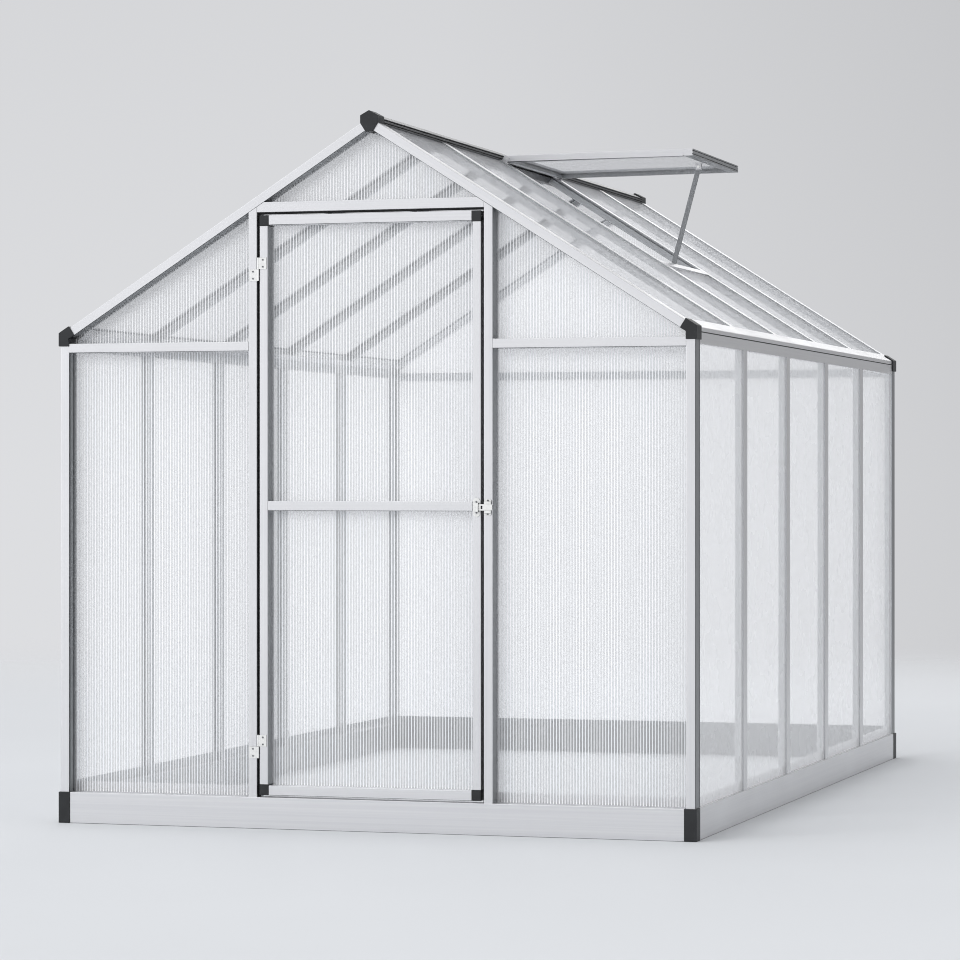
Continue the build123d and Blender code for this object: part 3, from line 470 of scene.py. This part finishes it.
print("post grooves", POST_GROOVE / MM, "mm wide")

# %% [markdown]
# Every aluminium piece is one row: the run of its die lines, its nodes, the ways of the faces that get
# painted shade and of those that get the darker painted flank shade, and a shaping step if it has one. A row
# is short to read and to change, where a call for each piece would hide what differs.


# %% Aluminium pieces
# The inner flank of the far vent side bar gets the darker painted flank shade.
def far_side(bm):
    for face in bm.faces:
        if face.calc_center_median().y > vent_middle.y and face.normal.y < -FACING:
            face.material_index = DEEP_SHADED


PROFILE_EDGE, PROFILE_CORNER = 0.4 * MM, 2.0 * MM
sides, ends = (x_axis, -x_axis), (y_axis, -y_axis)
door_rails = "door_top_rail door_bottom_rail door_middle_rail"
door_uprights = "door_post_left door_post_right door_stile_latch door_stile_hinge"
metal_rows = [
    ("across", "base_rail_front door_lintel front_girts " + door_rails, (), (), None),
    ("across", "stay_bracket vent_hinge_brackets", (), (), None),
    ("across", "rear_girt gable_rafters_rear", (-y_axis,), (), None),
    ("across", "base_rail_rear", (), (-y_axis,), None),
    ("across", "vent_side_bars", (), (-vent_out,), far_side),
    ("along", "base_rail_left eave_beam_left", (x_axis,), (), None),
    ("along", "base_rail_right eave_beam_right", (-x_axis,), (), None),
    ("along", "vent_top_bar vent_bottom_bar", (), (-vent_out, x_axis), None),
    ("along", "vent_sill_bar", (), (-right_slope, -y_axis), None),
    ("upright", "corner_post_front_right corner_post_front_left", (), sides, post_grooves),
    ("upright", "corner_posts_rear", (-y_axis,), sides, None),
    ("upright", door_uprights, (), sides, None),
    ("upright", "wall_bars_left", (x_axis, -y_axis), (), None),
    ("upright", "wall_bars_right", (-x_axis, -y_axis), (), None),
    ("upright", "stay_arm", (), sides + ends, None),
    ("right_slope", "roof_bars_right", ends, (-right_slope,), None),
    ("left_slope", "roof_bars_left", (-left_slope,), ends, None),
    ("right_slope", "gable_rafter_front_right", (), (-right_slope,), None),
    ("left_slope", "gable_rafter_front_left", (), (-left_slope,), None),
]
metal_pieces = [
    eased_piece(
        node, [aluminium[run], inner_shade[run], flank_shade, groove_shade], PROFILE_EDGE,
        shade_ways=shade_ways, dark=dark, outer=PROFILE_CORNER, shape=shape,
    )
    for run, nodes, shade_ways, dark, shape in metal_rows
    for node in nodes.split()
]
print("aluminium pieces", len(metal_pieces), "faces", sum(len(p.data.polygons) for p in metal_pieces))

# %% [markdown]
# The ridge keeps its ribs from the solid, with painted black shade in the grooves between them. The moulded
# caps have rounder edges than the metal, as a mould needs, and the pressed hinges and the latch have rims
# painted darker as shade. All of them are eased copies too, so that they meet the aluminium as the solids
# do.

# %% Dark and small pieces
RIDGE_EDGE, CAP_EDGE, PLATE_EDGE, SEAL_EDGE = 0.5 * MM, 1.5 * MM, 0.3 * MM, 0.5 * MM
# the last finish is painted shade for the ridge grooves
ridge_finishes = [charcoal, charcoal, charcoal, charcoal_groove_shade]
ridge = eased_piece("ridge_beam", ridge_finishes, RIDGE_EDGE)
nylon_pieces = [
    eased_piece(node, [black_nylon] * 4, CAP_EDGE, 3)
    for node in "base_corner_caps eave_corner_caps ridge_end_caps door_corner_blocks".split()
]
zinc_nodes = """hinge_post_leaves hinge_pins hinge_door_leaves latch_plate latch_bolt latch_keeper
    vent_hinge_pins stay_rivet bar_nuts""".split()
# rim faces get the darker zinc copy, painted shade round each plate
rims = (x_axis, -x_axis, z_axis, -z_axis)
zinc_pieces = [
    eased_piece(node, [zinc, zinc_rim_shade, zinc, zinc], PLATE_EDGE, shade_ways=rims)
    for node in zinc_nodes
]
seal = eased_piece("door_seals", [black_rubber] * 4, SEAL_EDGE)
print(ridge.name, seal.name, "nylon", len(nylon_pieces), "zinc", len(zinc_pieces))

# %% [markdown]
# Sheets and screws come as several loose solids in one node, and each is worked on alone. Walking from
# vertex to vertex along the edges finds the loose parts. A plane cut can also clear away one side, which is
# how a thin slice is taken out of a sheet.


# %% Loose parts and cuts
def loose_bodies(bm):
    bm.verts.index_update()
    seen, bodies = set(), []
    for start in bm.verts:
        if start.index in seen:
            continue
        body, front = {start.index}, [start]
        while front:
            vert = front.pop()
            near = [edge.other_vert(vert) for edge in vert.link_edges]
            front += [other for other in near if other.index not in body]
            body.update(other.index for other in near)
        seen |= body
        bodies.append(body)
    return bodies


def parts_of(node):
    bm = merged_copy(node)
    parts = []
    for body in loose_bodies(bm):
        part = bm.copy()
        part.verts.index_update()
        others = [vert for vert in part.verts if vert.index not in body]
        bmesh.ops.delete(part, geom=others, context="VERTS")
        parts.append(part)
    bm.free()
    return parts


def cut(bm, across, place, **side):
    geom = bm.verts[:] + bm.edges[:] + bm.faces[:]
    bmesh.ops.bisect_plane(bm, geom=geom, dist=CUT_LIMIT, plane_co=across * place, plane_no=across, **side)


def join(into, bm):
    mesh = bpy.data.meshes.new("joining")
    bm.to_mesh(mesh)
    bm.free()
    into.from_mesh(mesh)
    bpy.data.meshes.remove(mesh)


wall_parts = parts_of("wall_sheets_right")
print("right wall has", len(wall_parts), "sheets")
for part in wall_parts:
    part.free()

# %% [markdown]
# Each sheet starts from its solid, so it keeps the outline of its bay. Planes cut the outer skin into
# strips, a hazy one and a paler web root in turn, and a thin slice of the same solid becomes the web behind
# each root. An array of webs would have to be trimmed to the sloping gable sheets; slices are trimmed
# already. The webs are 8.4 mm apart. A real web is about half a millimetre, and its root is drawn 2.2 mm
# wide on the front and 3.2 mm on the other sheets, as the light spreads there and a finer line wouldn't
# show.

# %% Flutes
SKIN, ROOT_LINE, INNER = 0, 1, 2
FLUTE = 8.4 * MM
ROOT = 2.2 * MM
SOFT_ROOT = 3.2 * MM
WEB = 0.5 * MM
OUTSIDE = 0.5
WEB_SHY = 0.08  # share of the thickness by which a web stays inside the skins


def mark_flutes(part, across, outward, root, step, low):
    for face in part.faces:
        place = face.calc_center_median().dot(across) - low
        near_web = abs(place % step - step / 2) < root / 2
        outside = face.normal.dot(outward) > OUTSIDE
        face.material_index = (ROOT_LINE if near_web else SKIN) if outside else INNER


def web_slice(whole, across, outward, centre, middle):
    web = whole.copy()
    cut(web, across, centre + WEB / 2, clear_outer=True)
    cut(web, across, centre - WEB / 2, clear_inner=True)
    bmesh.ops.holes_fill(web, edges=web.edges)
    bmesh.ops.recalc_face_normals(web, faces=web.faces)
    for vert in web.verts:
        vert.co -= outward * (vert.co.dot(outward) - middle) * WEB_SHY
    for face in web.faces:
        face.material_index = INNER
    return web


print("flutes", round(FLUTE / MM, 1), "mm apart")

# %% [markdown]
# A row for each sheet names its node, the way across its flutes, the way it looks, its body and its finish.
# The flutes run down the walls, the gables and the roof slopes, so that rain drains out of the real ones.
# Sheets cast no shadow here, because so thin and clear a plastic throws almost none.


# %% Fluted sheets
def fluted_sheet(node, across, outward, body, kind, root):
    sheet = bmesh.new()
    webs = 0
    for part in parts_of(node):
        reach = [v.co.dot(across) for v in part.verts]
        depth = [v.co.dot(outward) for v in part.verts]
        low, span = min(reach), max(reach) - min(reach)
        count = max(1, round(span / FLUTE))
        step = span / count
        centres = [low + (k + 0.5) * step for k in range(count)]
        whole = part.copy()
        for centre in centres:
            for side in (-0.5, 0.5):
                cut(part, across, centre + side * root)
        mark_flutes(part, across, outward, root, step, low)
        for centre in centres:
            join(sheet, web_slice(whole, across, outward, centre, (min(depth) + max(depth)) / 2))
        webs += count
        join(sheet, part)
        whole.free()
    piece = make_piece(node + "_fluted", sheet, clear[kind], body, [node])
    piece.visible_shadow = False
    return piece, webs


sheet_rows = [
    ("wall_sheets_left", y_axis, -x_axis, "frame", "wall", SOFT_ROOT),
    ("wall_sheets_right", y_axis, x_axis, "frame", "wall", SOFT_ROOT),
    ("roof_sheets_left", y_axis, left_slope, "frame", "roof", SOFT_ROOT),
    ("roof_sheets_right", y_axis, right_slope, "frame", "roof", SOFT_ROOT),
    ("front_gable_sheets", x_axis, -y_axis, "frame", "front", ROOT),
    ("rear_gable_sheets", x_axis, y_axis, "frame", "wall", SOFT_ROOT),
    ("door_sheet_upper", x_axis, -y_axis, "door", "front", ROOT),
    ("door_sheet_lower", x_axis, -y_axis, "door", "front", ROOT),
    ("vent_sheet", y_axis, vent_out, "vent", "roof", SOFT_ROOT),
]
for row in sheet_rows:
    sheet_piece, webs = fluted_sheet(*row)
    print(sheet_piece.name, "webs", webs, "faces", len(sheet_piece.data.polygons))

# %% [markdown]
# The hinge and latch screws have cross recesses. Four plane cuts draw the cross on each head, and an inset
# pushes it in, so the recess is real geometry and catches shade from every side. Its faces also get a dark
# finish, painted shade on top of the real one.

# %% Screws
SLOT = 1.1 * MM
SLOT_REACH = 2.2 * MM
SLOT_DEPTH = 0.8 * MM
SLOT_DRAFT = 0.05 * MM


def cross_faces(head, middle):
    cross = []
    for face in head.faces:
        away = face.calc_center_median() - middle
        in_arm = min(abs(away.x), abs(away.z)) < SLOT / 2 and away.length < SLOT_REACH
        if face.normal.y < -SQUARE_ON and in_arm:
            cross.append(face)
    return cross


def screw_heads(node):
    heads = bmesh.new()
    for head in parts_of(node):
        middle = sum((v.co for v in head.verts), Vector()) / len(head.verts)
        for across in (x_axis, z_axis):
            for side in (-0.5, 0.5):
                cut(head, across, middle.dot(across) + side * SLOT)
        cross = cross_faces(head, middle)
        bmesh.ops.inset_region(head, faces=cross, thickness=SLOT_DRAFT, depth=-SLOT_DEPTH)
        for face in cross:
            # recess faces get painted shade
            face.material_index = 1
        join(heads, head)
    body = frame["nodes"][node]["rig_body"]
    return soften(make_piece(node + "_cross", heads, [phosphate, recess], body, [node]))


for node in ("post_screws", "door_screws"):
    screws = screw_heads(node)
    print(screws.name, "faces", len(screws.data.polygons))

# %% [markdown]
# The floor is matt pale grey studio paint, with a faint unevenness that the eye takes for a real surface. A
# curved backdrop would need a wall behind the object; here the floor fades out into the world instead,
# which works from every side.

# %% Floor
FLOOR_RADIUS = 26.0
FADE_START, FADE_END = 3.0, 12.0
BLOTCH = 5 / 3  # metres across


def studio_floor():
    bm = bmesh.new()
    bmesh.ops.create_circle(bm, cap_ends=True, segments=96, radius=FLOOR_RADIUS)
    mesh = bpy.data.meshes.new("floor")
    bm.to_mesh(mesh)
    bm.free()
    material, tree, shader = finish_named("paint_pale_grey_matt")
    place = add(tree, "ShaderNodeTexCoord")
    reach = add(tree, "ShaderNodeVectorMath", {0: place.outputs["Object"]}, operation="LENGTH")
    span = {"Value": reach.outputs["Value"], "From Min": FADE_START, "From Max": FADE_END}
    falling = {**span, "To Min": 1.0, "To Max": 0.0}
    fade = add(tree, "ShaderNodeMapRange", falling, interpolation_type="SMOOTHERSTEP")
    uneven = {"Vector": place.outputs["Object"], "Scale": 1 / BLOTCH, "Detail": 2.0}
    speck = add(tree, "ShaderNodeTexNoise", uneven)
    shades = ((0.0, linear("#ced0d2")), (1.0, linear("#d4d6d8")))
    tone = add(tree, "ShaderNodeValToRGB", {"Fac": speck.outputs["Fac"]}, shades)
    tree.links.new(tone.outputs["Color"], shader.inputs["Base Color"])
    tree.links.new(fade.outputs["Result"], shader.inputs["Alpha"])
    shader.inputs["Roughness"].default_value = 0.75
    mesh.materials.append(material)
    floor = bpy.data.objects.new("floor", mesh)
    bpy.context.scene.collection.objects.link(floor)
    return floor


print(studio_floor().name, FLOOR_RADIUS, "m")

# %% [markdown]
# The backdrop is the world itself. Metal shows what it mirrors, so the world is brighter on the left and
# overhead and darker on the right, and the profiles get a light and a shaded side as in a real studio. Two
# colour ramps, one from left to right and one from below to overhead, are multiplied, with a lift in front
# of the object.


# %% Backdrop
def greys(*steps):
    return [(place, (level, level, level, 1)) for place, level in steps]


def backdrop():
    world = bpy.data.worlds.new("studio")
    bpy.context.scene.world = world
    world.use_nodes = True
    tree = world.node_tree
    place = add(tree, "ShaderNodeTexCoord")
    way = add(tree, "ShaderNodeSeparateXYZ", {0: place.outputs["Generated"]})
    full = {"From Min": -1.0, "From Max": 1.0}
    turn = add(tree, "ShaderNodeMapRange", {"Value": way.outputs["X"], **full})
    # left to right
    sides = greys(
        (0.0, 1.5), (0.14, 1.0), (0.27, 0.75), (0.35, 0.745), (0.42, 0.64), (0.53, 0.45), (0.66, 0.38)
    )
    side = add(tree, "ShaderNodeValToRGB", {"Fac": turn.outputs["Result"]}, sides)
    nearer = {"From Min": 0.0, "From Max": -0.8, "To Min": 1.0, "To Max": 1.55}
    front = add(tree, "ShaderNodeMapRange", {"Value": way.outputs["Y"], **nearer})
    lift = add(tree, "ShaderNodeMapRange", {"Value": way.outputs["Z"], **full})
    # below to overhead, black under the floor
    heights = greys(
        (0.27, 0.0), (0.35, 1.02), (0.50, 1.02), (0.65, 0.86), (0.80, 1.0), (0.925, 1.7), (1.0, 2.3)
    )
    rise = add(tree, "ShaderNodeValToRGB", {"Fac": lift.outputs["Result"]}, heights)
    factors = {0: front.outputs["Result"], 1: rise.outputs["Color"]}
    level = add(tree, "ShaderNodeMath", factors, operation="MULTIPLY")
    scaled = {0: side.outputs["Color"], "Scale": level.outputs[0]}
    tone = add(tree, "ShaderNodeVectorMath", scaled, operation="SCALE")
    cool = {0: tone.outputs[0], 1: linear("#f9fafd")[:3]}
    tint = add(tree, "ShaderNodeVectorMath", cool, operation="MULTIPLY")
    tree.links.new(tint.outputs[0], tree.nodes["Background"].inputs["Color"])
    tree.nodes["Background"].inputs["Strength"].default_value = 1.0
    return world


print("world", backdrop().name)

# %% [markdown]
# Three soft boxes light the house: a key from the front left, a long low fill on the right wall, and a rim
# behind the roof. The metal would mirror the first two as hard white patches, so only the rim shows in
# reflections, as the thin bright line along the eave.


# %% Lamps
def lamp(name, place, aim, size, power, mirrored=False):
    data = bpy.data.lights.new(name, "AREA")
    data.shape = "RECTANGLE"
    data.size, data.size_y = size
    data.energy = power
    light = bpy.data.objects.new(name, data)
    light.location = place
    light.visible_camera = False
    light.visible_glossy = mirrored
    light.rotation_euler = (Vector(aim) - Vector(place)).to_track_quat("-Z", "Y").to_euler()
    bpy.context.scene.collection.objects.link(light)


lamp("key", place=(-9.0, -17.0, 10.0), aim=(0, -1.0, 1.0), size=(9.0, 9.0), power=1500)
lamp("fill", place=(14.0, -3.0, 1.6), aim=(0.9, 0, 1.2), size=(8.0, 2.4), power=1000)
lamp("rim", place=(-0.6, 9.0, 4.6), aim=(0, 0, 1.8), size=(9.0, 2.4), power=105, mirrored=True)
print("lamps", len(bpy.data.lights))

# %% [markdown]
# The camera stands to the right of the door at half the height of the house and looks level, so uprights
# stay upright. A long lens from far away keeps the front nearly square. A ray passes many clear faces on
# its way through the house, so it is allowed enough of them, and a narrow pixel filter keeps the flutes
# crisp.

# %% Camera
SEE_THROUGH = 48
scene = bpy.context.scene
scene.cycles.transparent_max_bounces = SEE_THROUGH
scene.cycles.filter_width = 1.0
camera_data = bpy.data.cameras.new("camera")
camera_data.lens = 132.48
camera_data.sensor_width = 36.0
camera = bpy.data.objects.new("camera", camera_data)
camera.location = (3.2027, -10.9929, 0.9945)
camera.rotation_euler = (math.pi / 2, 0, math.radians(16.911))
scene.collection.objects.link(camera)
scene.camera = camera
scene.view_settings.view_transform = "Standard"
print("camera", tuple(round(x, 3) for x in camera.location))
